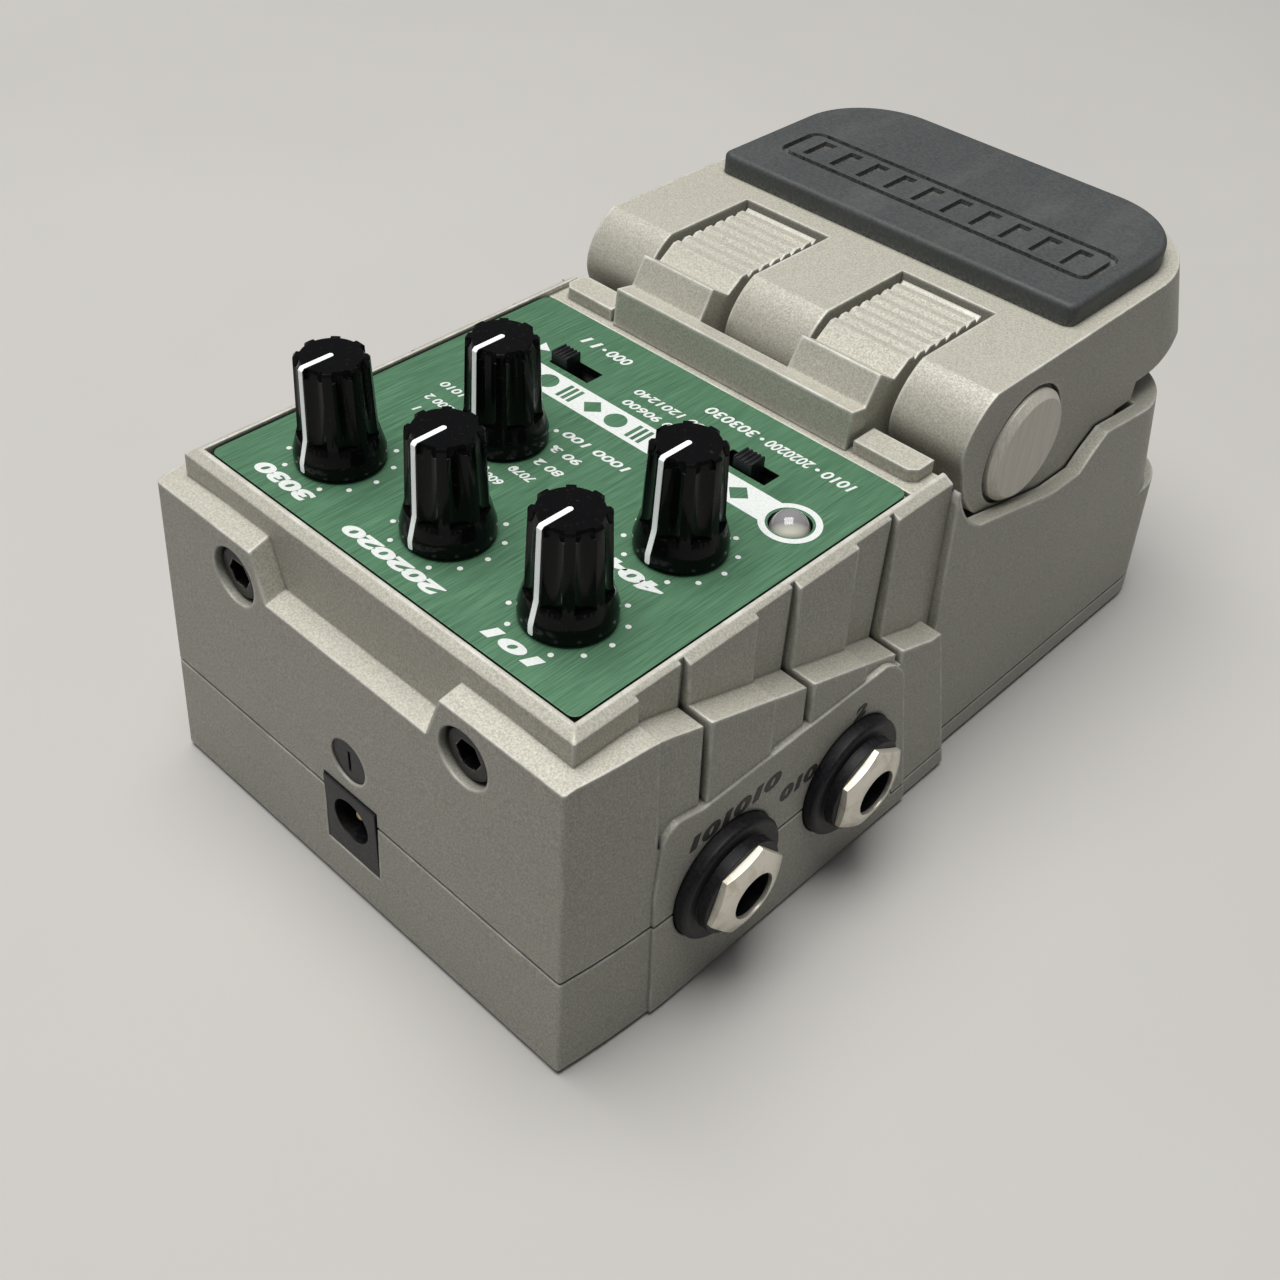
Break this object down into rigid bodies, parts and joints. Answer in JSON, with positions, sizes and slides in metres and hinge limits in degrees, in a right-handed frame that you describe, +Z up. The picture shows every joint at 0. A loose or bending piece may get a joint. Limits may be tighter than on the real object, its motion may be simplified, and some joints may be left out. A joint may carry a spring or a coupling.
{
  "type": "delay pedal",
  "caption": "Guitar delay pedal with a green brushed faceplate of dials and slide switches, side sockets and a rocking footplate with a rubber pad.",
  "frame": {"origin": "centre of the footprint, on the surface that the rubber feet stand on", "axes": "+Z up, +Y to the back end with the power socket, X across; the player stands at -Y"},
  "size_m": [0.0868, 0.136, 0.0639],
  "materials": {
    "casing_paint": "satin",
    "faceplate_green": "satin",
    "knob_black": "gloss",
    "black_plastic": "matte",
    "black_steel": "satin",
    "pad_rubber": "matte",
    "brushed_steel": "satin",
    "nickel": "satin",
    "zinc_steel": "satin",
    "brass": "satin",
    "bronze": "satin",
    "circuit_board": "satin",
    "lamp_clear": "gloss",
    "battery_wrap": "satin"
  },
  "bodies": {
    "casing": {"bottom_tray": "casing_paint", "upper_housing": "casing_paint", "faceplate": "faceplate_green", "hinge_block": "casing_paint", "hinge_bushes": "bronze", "hinge_block_screws": "zinc_steel", "led_lamp": "lamp_clear", "led_spacer": "black_plastic", "three_way_switch_body": "black_plastic", "two_way_switch_body": "black_plastic", "mono_output_socket": "black_plastic", "right_output_socket": "black_plastic", "input_socket": "black_plastic", "socket_washers": "black_plastic", "socket_nuts": "nickel", "power_socket": "black_plastic", "power_socket_pin": "brass", "blanking_plug": "black_plastic", "back_screws": "black_steel", "board_bracket": "zinc_steel", "main_board": "circuit_board", "main_board_screws": "zinc_steel", "socket_board": "circuit_board", "socket_board_screws": "zinc_steel", "board_link": "black_plastic", "signal_chips": "black_plastic", "capacitors": "black_plastic", "mix_control": "zinc_steel", "repeat_control": "zinc_steel", "time_control": "zinc_steel", "modulation_control": "zinc_steel", "mode_control": "zinc_steel", "foot_switch_body": "black_plastic", "foot_switch_nut": "nickel", "bump_stops": "pad_rubber", "return_springs": "zinc_steel", "battery": "battery_wrap", "battery_snap": "black_plastic", "rubber_feet": "pad_rubber", "casing_screws": "black_steel"},
    "footplate": {"treadle": "casing_paint", "treadle_pad": "pad_rubber", "hinge_pin": "zinc_steel", "hinge_cap_left": "brushed_steel", "hinge_cap_right": "brushed_steel"},
    "foot_switch_button": {"foot_switch_plunger": "black_plastic"},
    "mix_dial": {"mix_knob": "knob_black", "mix_shaft": "zinc_steel"},
    "repeat_dial": {"repeat_knob": "knob_black", "repeat_shaft": "zinc_steel"},
    "time_dial": {"time_knob": "knob_black", "time_shaft": "zinc_steel"},
    "modulation_dial": {"modulation_knob": "knob_black", "modulation_shaft": "zinc_steel"},
    "mode_dial": {"mode_knob": "knob_black", "mode_shaft": "zinc_steel"},
    "three_way_slider": {"three_way_switch_toggle": "black_plastic"},
    "two_way_slider": {"two_way_switch_toggle": "black_plastic"},
    "battery_lid": {"battery_door": "black_plastic"}
  },
  "joints": [
    {"name": "footplate_rock", "type": "hinge", "parent": "casing", "child": "footplate", "pos_m": [0, -0.0185, 0.0464], "axis": [1, 0, 0], "range_deg": [0, 4], "stiffness_Nm_per_rad": 2, "springref_deg": -5.73, "deforming": ["return_springs"]},
    {"name": "foot_switch_press", "type": "slide", "parent": "casing", "child": "foot_switch_button", "axis": [0, 0, -1], "range_m": [0, 0.0015], "stiffness_N_per_m": 300, "springref_m": -0.002},
    {"name": "mix_turn", "type": "hinge", "parent": "casing", "child": "mix_dial", "pos_m": [-0.0194, 0.05025, 0.0497], "axis": [0, 0, 1], "range_deg": [-150, 150]},
    {"name": "repeat_turn", "type": "hinge", "parent": "casing", "child": "repeat_dial", "pos_m": [0.0001, 0.05025, 0.0497], "axis": [0, 0, 1], "range_deg": [-150, 150]},
    {"name": "time_turn", "type": "hinge", "parent": "casing", "child": "time_dial", "pos_m": [0.0197, 0.05025, 0.0497], "axis": [0, 0, 1], "range_deg": [-150, 150]},
    {"name": "modulation_turn", "type": "hinge", "parent": "casing", "child": "modulation_dial", "pos_m": [-0.0196, 0.03265, 0.0497], "axis": [0, 0, 1], "range_deg": [-150, 150]},
    {"name": "mode_turn", "type": "hinge", "parent": "casing", "child": "mode_dial", "pos_m": [0.0098, 0.03295, 0.0497], "axis": [0, 0, 1], "range_deg": [-150, 150]},
    {"name": "three_way_slide", "type": "slide", "parent": "casing", "child": "three_way_slider", "axis": [1, 0, 0], "range_m": [-0.0021, 0.0021]},
    {"name": "two_way_slide", "type": "slide", "parent": "casing", "child": "two_way_slider", "axis": [1, 0, 0], "range_m": [-0.0038, 0]},
    {"name": "battery_door_swing", "type": "hinge", "parent": "casing", "child": "battery_lid", "pos_m": [0, -0.0586, 0.0021], "axis": [-1, 0, 0], "range_deg": [0, 95]}
  ],
  "couplings": [
    {"joint": "foot_switch_press", "follows": "footplate_rock", "m_per_rad": 0.0195}
  ]
}
